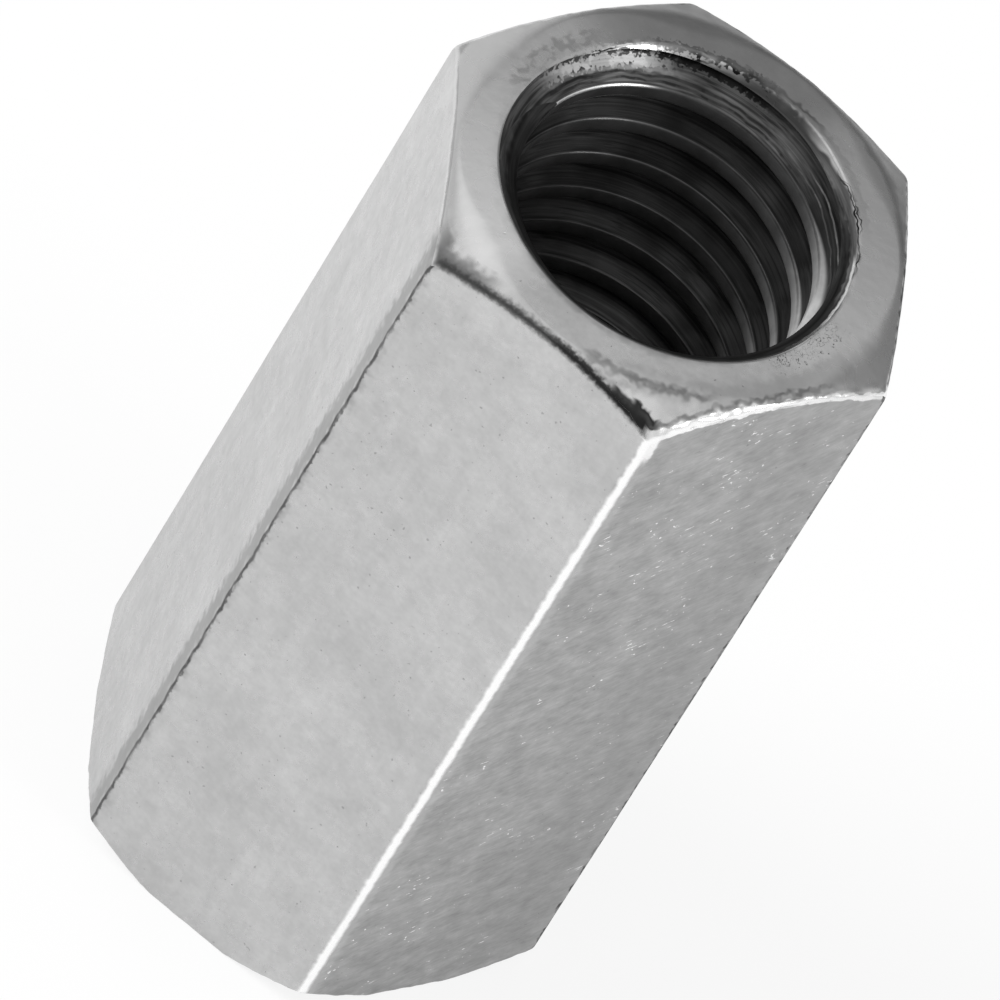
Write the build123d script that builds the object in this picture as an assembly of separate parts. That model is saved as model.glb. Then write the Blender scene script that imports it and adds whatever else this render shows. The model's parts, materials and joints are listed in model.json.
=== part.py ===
from build123d import *
from build123d.topology import SkipClean
import os
from math import ceil, radians, sqrt, tan

# Coupling nut: a hexagon bar, chamfered at both ends, bored, countersunk and tapped right through.
# Millimetres, +Z along the thread's axis. The origin is the middle of the far end face,
# on which the nut stands; the near end is the upper one. Two flats face +Y and -Y.

# Bar: 5/8 in across the flats, 1-3/8 in long
across_flats = 15.875
length = 34.925

# Thread: 1/2 in diameter at the roots, 13 turns to the inch, right hand. Its height leaves the crests
# 27/64 in across. Its flanks meet in sharp roots, and it is turned about the axis to how it ends
thread_diameter = 12.7
thread_height = 0.992
pitch = 25.4 / 13
flank_angle = 30
thread_turned = 243

# Chamfers of the six corners: the end face's circle stays this far inside the flats,
# and a negative margin makes it wider than the flats, so that only the corners are cut
near_face_margin = 0.22
near_chamfer_angle = 32
far_face_margin = -0.11
far_chamfer_angle = 43.5

# Countersinks: the rim stays this far inside the thread's roots
mouth_margin = 0.1
mouth_angle = 90

# Cutters reach this far past what they cut
overrun = 1.0
groove_overlap = 0.15

# The bore is drilled in this many sectors, so that each turn's crest has short faces
bore_sectors = 4

corner_radius = across_flats / sqrt(3)
crest_radius = thread_diameter / 2 - thread_height
mouth_radius = thread_diameter / 2 - mouth_margin


def chamfer_rise(face_radius, angle, radius):
    """Height above the end face at which a chamfer's cone has the given radius."""
    return (radius - face_radius) * tan(radians(angle))


def hexagon_bar():
    """The bar as it is cut off, before any machining."""
    return extrude(RegularPolygon(across_flats / 2, 6, major_radius=False), length)


def turned_outline():
    """The solid of revolution that both ends are turned to, wider than the bar between them."""
    reach = corner_radius + overrun
    near_face = across_flats / 2 - near_face_margin
    far_face = across_flats / 2 - far_face_margin
    half_section = Polyline(
        (0, 0),
        (far_face, 0),
        (reach, chamfer_rise(far_face, far_chamfer_angle, reach)),
        (reach, length - chamfer_rise(near_face, near_chamfer_angle, reach)),
        (near_face, length),
        (0, length),
        close=True,
    )
    return revolve(Plane.XZ * make_face(half_section), Axis.Z)


def countersink():
    """Cone that opens the lower mouth, from inside the bore out past the end face."""
    slope = tan(radians(mouth_angle / 2))
    inner_radius = crest_radius - overrun
    depth = (mouth_radius - inner_radius) / slope
    half_section = Polyline(
        (0, -overrun),
        (mouth_radius + overrun * slope, -overrun),
        (inner_radius, depth),
        (0, depth),
        close=True,
    )
    return revolve(Plane.XZ * make_face(half_section), Axis.Z)


def drill_sector():
    """One sector of what the tap drill takes out."""
    return Solid.make_cylinder(crest_radius, length, angle=360 / bore_sectors)


def groove_turn():
    """One turn of the thread's groove: its V section swept once round the helix."""
    path = Edge.make_helix(pitch, pitch, crest_radius)
    inner_radius = crest_radius - groove_overlap
    half_mouth = (thread_height + groove_overlap) * tan(radians(flank_angle))
    section = Wire.make_polygon(
        [
            Vector(inner_radius, 0, -half_mouth),
            Vector(thread_diameter / 2, 0, 0),
            Vector(inner_radius, 0, half_mouth),
        ],
        close=True,
    )
    return Solid.sweep(Face(section), path, is_frenet=True)


def coupling_nut():
    """The whole nut: bar, chamfers, bore and countersinks, then the thread one turn after another."""
    nut = (hexagon_bar() & turned_outline()).solid()
    near_end = Location((0, 0, length), (180, 0, 0))
    with SkipClean():
        for sector in range(bore_sectors):
            nut = nut.cut(drill_sector().rotate(Axis.Z, sector * 360 / bore_sectors))
        nut = nut.cut(countersink(), countersink().moved(near_end))
        turn = groove_turn()
        for count in range(ceil(length / pitch) + 2):
            place = Location((0, 0, (count - 1) * pitch), (0, 0, thread_turned))
            nut = nut.cut(turn.moved(place))
    return nut


os.makedirs("parts", exist_ok=True)
export_step(coupling_nut(), "parts/coupling_nut.step")
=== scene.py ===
"""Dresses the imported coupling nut: its worn hexagon body, its right-hand thread, its steel and the studio.

Lengths are in metres, +Z along the thread's axis, and the nut stands on its far end at the origin. In the
materials, places, radii and depths are in millimetres, and angles about the axis in degrees.
"""

import json
import logging
from contextlib import contextmanager
from dataclasses import dataclass, field
from enum import Enum
from functools import reduce
from math import atan2, cos, degrees, exp, floor, hypot, pi, radians, sin, sqrt, tan
from typing import Callable, Iterator, Sequence

import bpy
from mathutils import Matrix, Vector, noise

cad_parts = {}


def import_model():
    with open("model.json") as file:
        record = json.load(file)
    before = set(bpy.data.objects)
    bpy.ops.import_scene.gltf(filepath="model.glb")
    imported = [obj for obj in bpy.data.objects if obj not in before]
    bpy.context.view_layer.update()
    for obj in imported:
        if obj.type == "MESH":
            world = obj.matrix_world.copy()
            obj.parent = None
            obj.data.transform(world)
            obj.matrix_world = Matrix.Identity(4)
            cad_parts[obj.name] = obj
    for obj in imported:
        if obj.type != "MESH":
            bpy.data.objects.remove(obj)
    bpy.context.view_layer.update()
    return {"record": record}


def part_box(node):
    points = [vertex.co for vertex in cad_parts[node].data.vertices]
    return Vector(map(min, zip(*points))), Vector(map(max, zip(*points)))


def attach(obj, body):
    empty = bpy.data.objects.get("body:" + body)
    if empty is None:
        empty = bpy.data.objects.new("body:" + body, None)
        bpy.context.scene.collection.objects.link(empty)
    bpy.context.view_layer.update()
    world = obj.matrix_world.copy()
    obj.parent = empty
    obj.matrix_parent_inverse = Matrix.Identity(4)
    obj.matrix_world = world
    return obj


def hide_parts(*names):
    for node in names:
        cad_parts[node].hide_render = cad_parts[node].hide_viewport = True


LOG = logging.getLogger("coupling_nut")
MM = 0.001
NODE = "coupling_nut"


class Corner(Enum):
    """The hexagon's six corners, by their angle about the axis in degrees."""

    RIGHT = 0
    RIGHT_BACK = 60
    LEFT_BACK = 120
    LEFT = 180
    LEFT_FRONT = 240
    RIGHT_FRONT = 300


@dataclass(frozen=True)
class NutSizes:
    """The nut's sizes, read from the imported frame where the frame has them."""

    across_flats: float
    length: float
    crest_radius: float
    root_radius: float = 6.35 * MM
    pitch: float = 25.4 / 13 * MM
    flank_angle: float = radians(30)
    thread_start: float = radians(243)

    @classmethod
    def from_frame(cls, record: dict) -> "NutSizes":
        """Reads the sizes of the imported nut.

        Args:
            record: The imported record, whose mount gives the radius of the crests.

        Returns:
            The sizes in metres.
        """
        low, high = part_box(NODE)
        mount = next(item for item in record["mounts"] if item["name"] == "thread_near")
        return cls(
            across_flats=high.y - low.y,
            length=high.z - low.z,
            crest_radius=mount["dims"]["r_mm"] * MM,
        )

    @property
    def corner_radius(self) -> float:
        """Distance of a sharp corner from the axis."""
        return self.across_flats / sqrt(3)


def angle_of(place: Vector) -> float:
    """Returns a point's angle about the axis, in degrees."""
    return degrees(atan2(place.y, place.x))


def degrees_past(angle: float, middle: float) -> float:
    """Returns how far an angle lies past another, from -180 to 180 degrees."""
    return (angle - middle + 180) % 360 - 180


def stands_at(place: Vector, angle: float) -> bool:
    """Says whether a point stands at an angle about the axis, within a degree."""
    return abs(degrees_past(angle_of(place), angle)) < 1


@contextmanager
def edit_mode() -> Iterator[None]:
    """Opens the active piece in edit mode, and goes back to object mode at the end."""
    bpy.ops.object.mode_set(mode="EDIT")
    yield
    bpy.ops.object.mode_set(mode="OBJECT")


def pick_vertices(piece: bpy.types.Object, wanted: Callable[[Vector], bool]) -> None:
    """Selects the vertices whose place passes a test, and nothing else.

    Args:
        piece: The active piece.
        wanted: The test of a vertex's place.
    """
    with edit_mode():
        bpy.ops.mesh.select_mode(type="VERT")
        bpy.ops.mesh.select_all(action="DESELECT")
    for vertex in piece.data.vertices:
        vertex.select = wanted(vertex.co)


def pick_edges(piece: bpy.types.Object, wanted: Callable[[Vector, Vector], bool]) -> None:
    """Selects the edges whose two ends pass a test, and nothing else.

    Args:
        piece: The active piece.
        wanted: The test of the places of an edge's two ends.
    """
    with edit_mode():
        bpy.ops.mesh.select_mode(type="EDGE")
        bpy.ops.mesh.select_all(action="DESELECT")
    places = [vertex.co.copy() for vertex in piece.data.vertices]
    for edge in piece.data.edges:
        start, end = edge.vertices
        edge.select = wanted(places[start], places[end])


@dataclass(frozen=True)
class EndForm:
    """How one end of the bar is turned, seen in a half section through the axis."""

    face_radius: float
    slope: float
    crown: float
    face_round: float
    edge_round: float
    rim_round: float


@dataclass(frozen=True)
class Swell:
    """A soft local change of a radius or a surface, by angle about the axis in degrees."""

    angle: float
    width: float
    height: float

    def at(self, angle: float) -> float:
        """Returns the change at an angle about the axis, in degrees."""
        return self.height * exp(-((degrees_past(angle, self.angle) / self.width) ** 2))


@dataclass(frozen=True)
class Run:
    """A stretch of the half section: how many parts it has, how rough it is, and where it has burrs."""

    parts: int
    roughness: float = 0.0
    burrs: tuple[Swell, ...] = ()

    def roughness_at(self, angle: float) -> float:
        """Returns how far wear moves the stretch's points at an angle about the axis, in degrees."""
        return self.roughness + sum(burr.at(angle) for burr in self.burrs)


def arc_points(before: Vector, corner: Vector, after: Vector, radius: float, parts: int) -> list[Vector]:
    """Rounds one corner of a half section.

    Args:
        before: The section's point before the corner.
        corner: The sharp corner.
        after: The section's point after the corner.
        radius: The wanted radius, made smaller where the runs beside it are short.
        parts: How many chords the arc has.

    Returns:
        The arc's points, from its start to its end.
    """
    # Below a half, so that the roundings at both ends of a stretch never meet
    longest_share = 0.45
    to_before = before - corner
    to_after = after - corner
    turn = pi - to_before.angle(to_after)
    shorter = min(longest_share * to_before.length, longest_share * to_after.length)
    reach = min(radius * tan(turn / 2), shorter)
    start = corner + to_before.normalized() * reach
    end = corner + to_after.normalized() * reach
    points = []
    for index in range(parts + 1):
        share = index / parts
        near = start.lerp(corner, share)
        far = corner.lerp(end, share)
        points.append(near.lerp(far, share))
    return points


@dataclass(frozen=True)
class Wear:
    """The bar's uneven surface: rough where it is worn, and slightly wavy along its sides."""

    fine_cell: float = 0.45 * MM
    finest_cell: float = 0.2 * MM
    finest_share: float = 0.6
    wave_cell: float = 5 * MM
    wave_height: float = 0.008 * MM
    wave_margin: float = 2 * MM
    lean: float = 0.6

    def shift(self, place: Vector, away: Vector, amount: float, length: float) -> Vector:
        """Works out how far a point of the surface moves.

        Args:
            place: The point on the unworn surface.
            away: The direction from the axis to the point.
            amount: How rough the surface is there.
            length: The bar's length, whose sides wave except near both ends.

        Returns:
            The move.
        """
        # Each pattern is shifted by another amount, so that no two line up
        finest = noise.noise(place / self.finest_cell + Vector((7, 3, 1)))
        fine = noise.noise(place / self.fine_cell) + self.finest_share * finest
        wave = noise.noise(place / self.wave_cell + Vector((2, 9, 4)))
        upright = min(place.z, length - place.z) > self.wave_margin
        swing = self.wave_height * wave if upright else 0.0
        centre = Vector((0, 0, length / 2))
        outward = (away + self.lean * (place - centre).normalized()).normalized()
        return outward * fine * amount + away * swing


@dataclass
class HexagonBody:
    """The bar with both its ends turned and countersunk, worn at its edges, before it is tapped."""

    sizes: NutSizes
    near: EndForm = EndForm(
        face_radius=7.7175 * MM,
        slope=radians(29),
        crown=0.1 * MM,
        face_round=2.5 * MM,
        edge_round=0.3 * MM,
        rim_round=0.16 * MM,
    )
    far: EndForm = EndForm(
        face_radius=8.0475 * MM,
        slope=radians(43.5),
        crown=0.0,
        face_round=0.5 * MM,
        edge_round=0.3 * MM,
        rim_round=0.12 * MM,
    )
    wear: Wear = Wear()
    mouth_radius: float = 6.25 * MM
    funnel_radius: float = 5.0 * MM
    least_chamfer: float = 0.05 * MM
    corner_parts: int = 8
    flat_cuts: int = 70
    corner_rounds: dict[Corner, float] = field(
        default_factory=lambda: {
            Corner.RIGHT: 0.26 * MM,
            Corner.RIGHT_BACK: 0.3 * MM,
            Corner.LEFT_BACK: 0.3 * MM,
            Corner.LEFT: 0.26 * MM,
            Corner.LEFT_FRONT: 0.14 * MM,
            Corner.RIGHT_FRONT: 0.36 * MM,
        }
    )
    rim_swells: tuple[Swell, ...] = (
        Swell(28, 22, -0.19 * MM),
        Swell(80, 14, 0.08 * MM),
        Swell(104, 22, 0.05 * MM),
        Swell(128, 14, 0.17 * MM),
        Swell(160, 12, -0.19 * MM),
        Swell(205, 26, 0.11 * MM),
        Swell(358, 16, -0.07 * MM),
    )
    edge_swells: tuple[Swell, ...] = (
        Swell(240, 6, 1.0 * MM),
        Swell(300, 6, 0.6 * MM),
        Swell(0, 6, 0.4 * MM),
        Swell(180, 6, 0.4 * MM),
    )
    # From the far funnel over the far end, up the side and over the near end to the near funnel.
    # Straight stretches take turns with the roundings between them
    runs: tuple[Run, ...] = (
        # Far countersink, rim, end face and chamfer
        Run(6),
        Run(4, 0.006 * MM),
        Run(6),
        Run(3, 0.01 * MM),
        Run(3, 0.01 * MM),
        Run(5, 0.02 * MM),
        # Side
        Run(52),
        # Near chamfer, from its outer edge to its inner one
        Run(7, 0.014 * MM, (Swell(316, 16, 0.06 * MM), Swell(342, 10, 0.04 * MM), Swell(298, 4, 0.03 * MM))),
        Run(5, 0.008 * MM, (Swell(318, 18, 0.012 * MM),)),
        Run(8, 0.004 * MM),
        # Near end face, rim and countersink
        Run(8, 0.003 * MM),
        Run(6, 0.012 * MM, (Swell(112, 24, 0.05 * MM), Swell(40, 16, 0.05 * MM), Swell(150, 14, 0.02 * MM))),
        Run(9, 0.006 * MM, (Swell(112, 24, 0.03 * MM),)),
    )

    def build(self) -> bpy.types.Object:
        """Draws the rounded hexagon, raises it in rings and lays the rings on the turned section.

        Returns:
            The body's object, a closed solid.
        """
        body = self._outline()
        self._raise_rings(body)
        self._lay_on_section(body)
        self._close_ends()
        return body

    def _outline(self) -> bpy.types.Object:
        """Draws the hexagon with each corner rounded as worn, and with points along its flats.

        Returns:
            The outline's object.
        """
        bpy.ops.mesh.primitive_circle_add(
            vertices=len(Corner), radius=self.sizes.corner_radius, rotation=(0, 0, pi / len(Corner))
        )
        outline = bpy.context.object
        outline.name = "worn_nut"
        bpy.ops.object.transform_apply(location=False, rotation=True, scale=False)
        for corner, radius in self.corner_rounds.items():
            pick_vertices(outline, lambda place: stands_at(place, corner.value))
            with edit_mode():
                bpy.ops.mesh.bevel(
                    offset=radius * tan(pi / len(Corner)),
                    segments=self.corner_parts,
                    affect="VERTICES",
                    clamp_overlap=False,
                )
        long_edge = self.sizes.corner_radius / 2
        pick_edges(outline, lambda start, end: (start - end).length > long_edge)
        with edit_mode():
            bpy.ops.mesh.subdivide(number_cuts=self.flat_cuts)
        return outline

    def _raise_rings(self, body: bpy.types.Object) -> None:
        """Raises the outline to a wall of rings a millimetre apart, one for each point of the section.

        Args:
            body: The outline's object.
        """
        with edit_mode():
            bpy.ops.mesh.select_mode(type="EDGE")
            bpy.ops.mesh.select_all(action="SELECT")
        height = 0
        for run in self.runs:
            with edit_mode():
                bpy.ops.mesh.extrude_edges_move(TRANSFORM_OT_translate={"value": (0, 0, run.parts * MM)})
            low = (height + 0.5) * MM
            height += run.parts
            high = (height - 0.5) * MM
            pick_edges(body, lambda start, end: min(start.z, end.z) < low and max(start.z, end.z) > high)
            with edit_mode():
                bpy.ops.mesh.subdivide(number_cuts=run.parts - 1)
            pick_edges(body, lambda start, end: min(start.z, end.z) > high)

    def _corners_of(self, angle: float, wall: float) -> tuple[list[Vector], list[float]]:
        """Lists the half section's corners at an angle about the axis.

        Args:
            angle: The angle in degrees.
            wall: The flat's distance from the axis at that angle.

        Returns:
            The corners as (radius, height), and the radius of the rounding at each.
        """
        mouth = self.mouth_radius + sum(swell.at(angle) for swell in self.rim_swells)
        top = self.sizes.length
        near_face = min(self.near.face_radius, wall - self.least_chamfer)
        far_face = min(self.far.face_radius, wall - self.least_chamfer)
        fall = self.near.crown * (near_face - mouth) / (self.near.face_radius - mouth)
        near_drop = fall + max((wall - near_face) * tan(self.near.slope), self.least_chamfer)
        far_drop = max((wall - far_face) * tan(self.far.slope), self.least_chamfer)
        funnel = mouth - self.funnel_radius
        points = [
            Vector((self.funnel_radius, funnel)),
            Vector((mouth, 0)),
            Vector((far_face, 0)),
            Vector((wall, far_drop)),
            Vector((wall, top - near_drop)),
            Vector((near_face, top - fall)),
            Vector((mouth, top)),
            Vector((self.funnel_radius, top - funnel)),
        ]
        rounds = [
            0.0,
            self.far.rim_round,
            self.far.face_round,
            self.far.edge_round,
            self.near.edge_round + sum(swell.at(angle) for swell in self.edge_swells),
            self.near.face_round,
            self.near.rim_round,
            0.0,
        ]
        return points, rounds

    def _section(self, angle: float, wall: float) -> list[Vector]:
        """Works out the rounded half section at an angle about the axis.

        Args:
            angle: The angle in degrees.
            wall: The flat's distance from the axis at that angle.

        Returns:
            The section as (radius, height), one point for each ring.
        """
        corners, rounds = self._corners_of(angle, wall)
        arcs = [[corners[0]]]
        for index in range(1, len(corners) - 1):
            before, corner, after = corners[index - 1 : index + 2]
            arcs.append(arc_points(before, corner, after, rounds[index], self.runs[2 * index - 1].parts))
        arcs.append([corners[-1]])
        points = [corners[0]]
        for index in range(1, len(arcs)):
            start, end = arcs[index - 1][-1], arcs[index][0]
            parts = self.runs[2 * index - 2].parts
            points += [start.lerp(end, step / parts) for step in range(1, parts + 1)]
            points += arcs[index][1:]
        return points

    def _roughness(self, angle: float) -> list[float]:
        """Works out how far wear moves the points at an angle about the axis.

        Args:
            angle: The angle in degrees.

        Returns:
            The roughness, one value for each ring.
        """
        rough = [self.runs[0].roughness_at(angle)]
        for run in self.runs:
            rough += [run.roughness_at(angle)] * run.parts
        return rough

    def _lay_on_section(self, body: bpy.types.Object) -> None:
        """Moves every vertex from the straight wall of rings to its place on the turned, worn section.

        Args:
            body: The wall's object.
        """
        columns: dict[tuple[float, float], tuple[list[Vector], list[float]]] = {}
        for vertex in body.data.vertices:
            column = (round(vertex.co.x / MM, 5), round(vertex.co.y / MM, 5))
            wall = hypot(vertex.co.x, vertex.co.y)
            if column not in columns:
                angle = angle_of(vertex.co)
                columns[column] = self._section(angle, wall), self._roughness(angle)
            section, rough = columns[column]
            ring = round(vertex.co.z / MM)
            away = Vector((vertex.co.x / wall, vertex.co.y / wall, 0))
            place = away * section[ring].x + Vector((0, 0, section[ring].y))
            vertex.co = place + self.wear.shift(place, away, rough[ring], self.sizes.length)

    @staticmethod
    def _close_ends() -> None:
        """Closes both funnels of the active piece with a disc, inside what the tap takes away."""
        with edit_mode():
            bpy.ops.mesh.select_mode(type="EDGE")
            bpy.ops.mesh.select_all(action="DESELECT")
            bpy.ops.mesh.select_non_manifold()
            bpy.ops.mesh.fill_holes(sides=0)
            bpy.ops.mesh.select_all(action="SELECT")
            bpy.ops.mesh.normals_make_consistent(inside=False)


@dataclass
class Tap:
    """The tool that the thread is cut with: a rod whose threads fill the nut's grooves."""

    sizes: NutSizes
    root_flat_share: float = 1 / 8
    crest_round: float = 0.07 * MM
    root_round: float = 0.1 * MM
    round_parts: int = 2
    steps: int = 112
    spare_turns: int = 2
    overrun: float = 0.6 * MM

    def build(self) -> bpy.types.Object:
        """Draws one turn's outline, screws it up the axis and cuts both ends square.

        Returns:
            The tap's object, a closed solid.
        """
        tap = self._outline()
        self._screw(tap)
        self._cut_square()
        LOG.info("tap: %d faces", len(tap.data.polygons))
        return tap

    def _outline(self) -> bpy.types.Object:
        """Draws the section of one pitch, from the middle of one crest to the middle of the next.

        Returns:
            The outline's object.
        """
        sizes = self.sizes
        root_half = self.root_flat_share * sizes.pitch / 2
        mouth_half = root_half + (sizes.root_radius - sizes.crest_radius) * tan(sizes.flank_angle)
        points = [
            Vector((sizes.crest_radius, 0, -sizes.pitch / 2)),
            Vector((sizes.crest_radius, 0, -mouth_half)),
            Vector((sizes.root_radius, 0, -root_half)),
            Vector((sizes.root_radius, 0, root_half)),
            Vector((sizes.crest_radius, 0, mouth_half)),
            Vector((sizes.crest_radius, 0, sizes.pitch / 2)),
        ]
        turned = degrees(sizes.thread_start) / 360
        first = Vector((0, 0, -(self.spare_turns + turned) * sizes.pitch))
        bpy.ops.mesh.primitive_plane_add(size=MM)
        tap = bpy.context.object
        tap.name = "tap"
        with edit_mode():
            bpy.ops.mesh.select_mode(type="VERT")
            bpy.ops.mesh.merge(type="CENTER")
            bpy.ops.transform.translate(value=points[0] + first)
            for before, after in zip(points, points[1:]):
                bpy.ops.mesh.extrude_vertices_move(TRANSFORM_OT_translate={"value": after - before})
        self._round(tap, sizes.root_radius, self.root_round)
        self._round(tap, sizes.crest_radius, self.crest_round)
        return tap

    def _round(self, tap: bpy.types.Object, radius: float, size: float) -> None:
        """Rounds the outline's inner corners that stand at a radius.

        Args:
            tap: The outline's object.
            radius: The corners' distance from the axis.
            size: How far along each side the rounding starts.
        """
        heights = [vertex.co.z for vertex in tap.data.vertices]
        low, high = min(heights), max(heights)
        pick_vertices(tap, lambda place: abs(place.x - radius) < size / 10 and low < place.z < high)
        with edit_mode():
            bpy.ops.mesh.bevel(offset=size, segments=self.round_parts, affect="VERTICES")

    def _screw(self, tap: bpy.types.Object) -> None:
        """Screws the outline up the axis, right hand, past both ends of the nut.

        Args:
            tap: The outline's object.
        """
        sizes = self.sizes
        screw = tap.modifiers.new("thread", "SCREW")
        screw.axis = "Z"
        screw.angle = 2 * pi
        screw.screw_offset = sizes.pitch
        screw.iterations = floor(sizes.length / sizes.pitch) + 2 * self.spare_turns + 2
        screw.steps = self.steps
        screw.render_steps = self.steps
        screw.use_merge_vertices = False
        bpy.ops.object.modifier_apply(modifier=screw.name)
        with edit_mode():
            bpy.ops.mesh.select_all(action="SELECT")
            bpy.ops.mesh.remove_doubles(threshold=0.001 * MM)
            bpy.ops.mesh.normals_make_consistent(inside=False)

    def _cut_square(self) -> None:
        """Cuts the rod, which is the active piece, square a little past each end of the nut."""
        for height, side in ((-self.overrun, -1), (self.sizes.length + self.overrun, 1)):
            with edit_mode():
                bpy.ops.mesh.select_all(action="SELECT")
                bpy.ops.mesh.bisect(
                    plane_co=(0, 0, height), plane_no=(0, 0, side), use_fill=True, clear_outer=True
                )


class Measure(Enum):
    """What a point of the nut is measured by: degrees for the angle, millimetres for the others."""

    ANGLE = "Angle"
    RADIUS = "Radius"
    DEPTH = "Depth"
    CORNER = "Corner Offset"
    CHAMFER = "Chamfer Edge"


class Grain(Enum):
    """How coarse a wandering pattern is, in cells for each millimetre."""

    COARSE = 1.1
    MIDDLE = 2.7
    FINE = 6.5


@dataclass(frozen=True)
class Band:
    """A stretch of a measure, in millimetres: its middle, half its width, and how softly it ends."""

    at: float
    half: float
    soft: float


@dataclass(frozen=True)
class Arc:
    """Angles in degrees: a middle, how far they spread to each side, and how far they then fade."""

    middle: float
    spread: float
    fade: float

    @property
    def far(self) -> float:
        """How far from the middle the arc has faded out."""
        return self.spread + self.fade


@dataclass(frozen=True)
class Ragged:
    """A mark's ragged border: how far it wanders in millimetres, its grain, and how much has broken away."""

    wander: float = 0.0
    grain: Grain = Grain.MIDDLE
    breaks: float = 0.0


@dataclass(frozen=True)
class Mark:
    """A mark of the finish, such as a stain, a dirt line, wear, a painted highlight or painted shade: a band
    of a measure over an arc, down to a depth from the near end.
    """

    measure: Measure
    band: Band
    arc: Arc
    tone: float
    strength: float = 1.0
    ragged: Ragged = Ragged()
    deepest: float = 100.0


@dataclass(frozen=True)
class Ramp:
    """A soft step: where it begins and ends, and the values that it goes from and to."""

    low: float
    high: float
    start: float = 0.0
    end: float = 1.0


@dataclass(frozen=True)
class ToolLines:
    """Rings that a tool leaves: how fine they are, how they drift, and what they are spread over."""

    cells: float
    drift_cells: float
    drift: float
    least: float
    most: float


@dataclass(frozen=True)
class Pattern:
    """A noise pattern: its cells for each unit, its detail, and what its usual range is spread over."""

    cells: float
    detail: float
    least: float = 0.0
    most: float = 1.0


class ShaderGraph:
    """Places shader nodes in one tree and joins them. Each value is another node's output or a plain one."""

    def __init__(self, tree: bpy.types.NodeTree) -> None:
        """Starts on a tree.

        Args:
            tree: The tree of a material, of the world or of a node group.
        """
        self.tree = tree

    def feed(self, socket: bpy.types.NodeSocket, value: object) -> None:
        """Joins a socket to an output, or sets it to a plain value.

        Args:
            socket: The input.
            value: What it gets.
        """
        if isinstance(value, bpy.types.NodeSocket):
            self.tree.links.new(value, socket)
        else:
            socket.default_value = value

    def node(self, kind: str, values: dict[str | int, object], **settings: object) -> bpy.types.Node:
        """Adds a node.

        Args:
            kind: The node's type.
            values: What its inputs get, by their names or numbers.
            **settings: The node's properties.

        Returns:
            The node.
        """
        node = self.tree.nodes.new(kind)
        for name, setting in settings.items():
            setattr(node, name, setting)
        for name, value in values.items():
            self.feed(node.inputs[name], value)
        return node

    def group(self, tree: bpy.types.NodeTree, values: dict[str, object]) -> bpy.types.NodeOutputs:
        """Places a node group, feeds its inputs by their names and returns its outputs."""
        return self.node("ShaderNodeGroup", values, node_tree=tree).outputs

    def math(self, operation: str, *values: object) -> bpy.types.NodeSocket:
        """Adds a Math node on up to three values."""
        return self.node("ShaderNodeMath", dict(enumerate(values)), operation=operation).outputs[0]

    def plus(self, first: object, second: object) -> bpy.types.NodeSocket:
        """Adds two values."""
        return self.math("ADD", first, second)

    def minus(self, first: object, second: object) -> bpy.types.NodeSocket:
        """Takes the second value from the first."""
        return self.math("SUBTRACT", first, second)

    def times(self, *values: object) -> bpy.types.NodeSocket:
        """Multiplies values."""
        return reduce(lambda first, second: self.math("MULTIPLY", first, second), values)

    def largest(self, *values: object) -> bpy.types.NodeSocket:
        """Gives the largest of some values."""
        return reduce(lambda first, second: self.math("MAXIMUM", first, second), values)

    def off_axis(self, x: object, y: object) -> bpy.types.NodeSocket:
        """Gives the distance from the axis."""
        return self.math("SQRT", self.math("MULTIPLY_ADD", x, x, self.times(y, y)))

    def step(
        self, value: object, low: object, high: object, start: object = 0.0, end: object = 1.0
    ) -> bpy.types.NodeSocket:
        """Goes smoothly from start to end while the value goes from low to high."""
        values = {"Value": value, "From Min": low, "From Max": high, "To Min": start, "To Max": end}
        return self.node("ShaderNodeMapRange", values, interpolation_type="SMOOTHSTEP").outputs[0]

    def along(self, value: object, ramp: Ramp) -> bpy.types.NodeSocket:
        """Goes smoothly along a ramp."""
        return self.step(value, ramp.low, ramp.high, ramp.start, ramp.end)

    def within(self, angle: object, middle: object, spread: object, far: object) -> bpy.types.NodeSocket:
        """Masks the angles round a middle, in full up to a spread and not at all from far on."""
        turned = self.math("WRAP", self.minus(angle, middle), 180.0, -180.0)
        return self.step(self.math("ABSOLUTE", turned), spread, far, 1.0, 0.0)

    def blend(self, first: object, second: object, share: object) -> bpy.types.NodeSocket:
        """Mixes two values by a share."""
        values = {0: share, 2: first, 3: second}
        return self.node("ShaderNodeMix", values, data_type="FLOAT", clamp_factor=True).outputs[0]

    def noise(self, vector: object, cells: object, detail: float) -> bpy.types.NodeSocket:
        """Adds a noise pattern, with its cells for each unit of the vector."""
        values = {"Vector": vector, "Scale": cells, "Detail": detail}
        return self.node("ShaderNodeTexNoise", values).outputs[0]

    def swing(self, pattern: object, least: float, most: float) -> bpy.types.NodeSocket:
        """Spreads a noise pattern's usual range, 0.3 to 0.7, over least to most."""
        values = {"Value": pattern, "From Min": 0.3, "From Max": 0.7, "To Min": least, "To Max": most}
        return self.node("ShaderNodeMapRange", values).outputs[0]

    def plain(self, vector: object, pattern: Pattern) -> bpy.types.NodeSocket:
        """Adds a noise pattern as it is."""
        return self.noise(vector, pattern.cells, pattern.detail)

    def spread(self, vector: object, pattern: Pattern) -> bpy.types.NodeSocket:
        """Adds a noise pattern, spread from its least to its most."""
        return self.swing(self.plain(vector, pattern), pattern.least, pattern.most)

    def join(self, x: object, y: object, z: object) -> bpy.types.NodeSocket:
        """Makes a vector of three values."""
        return self.node("ShaderNodeCombineXYZ", {"X": x, "Y": y, "Z": z}).outputs[0]

    def split(self, vector: object) -> list[bpy.types.NodeSocket]:
        """Takes a vector apart into its three values."""
        return list(self.node("ShaderNodeSeparateXYZ", {"Vector": vector}).outputs)

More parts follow.
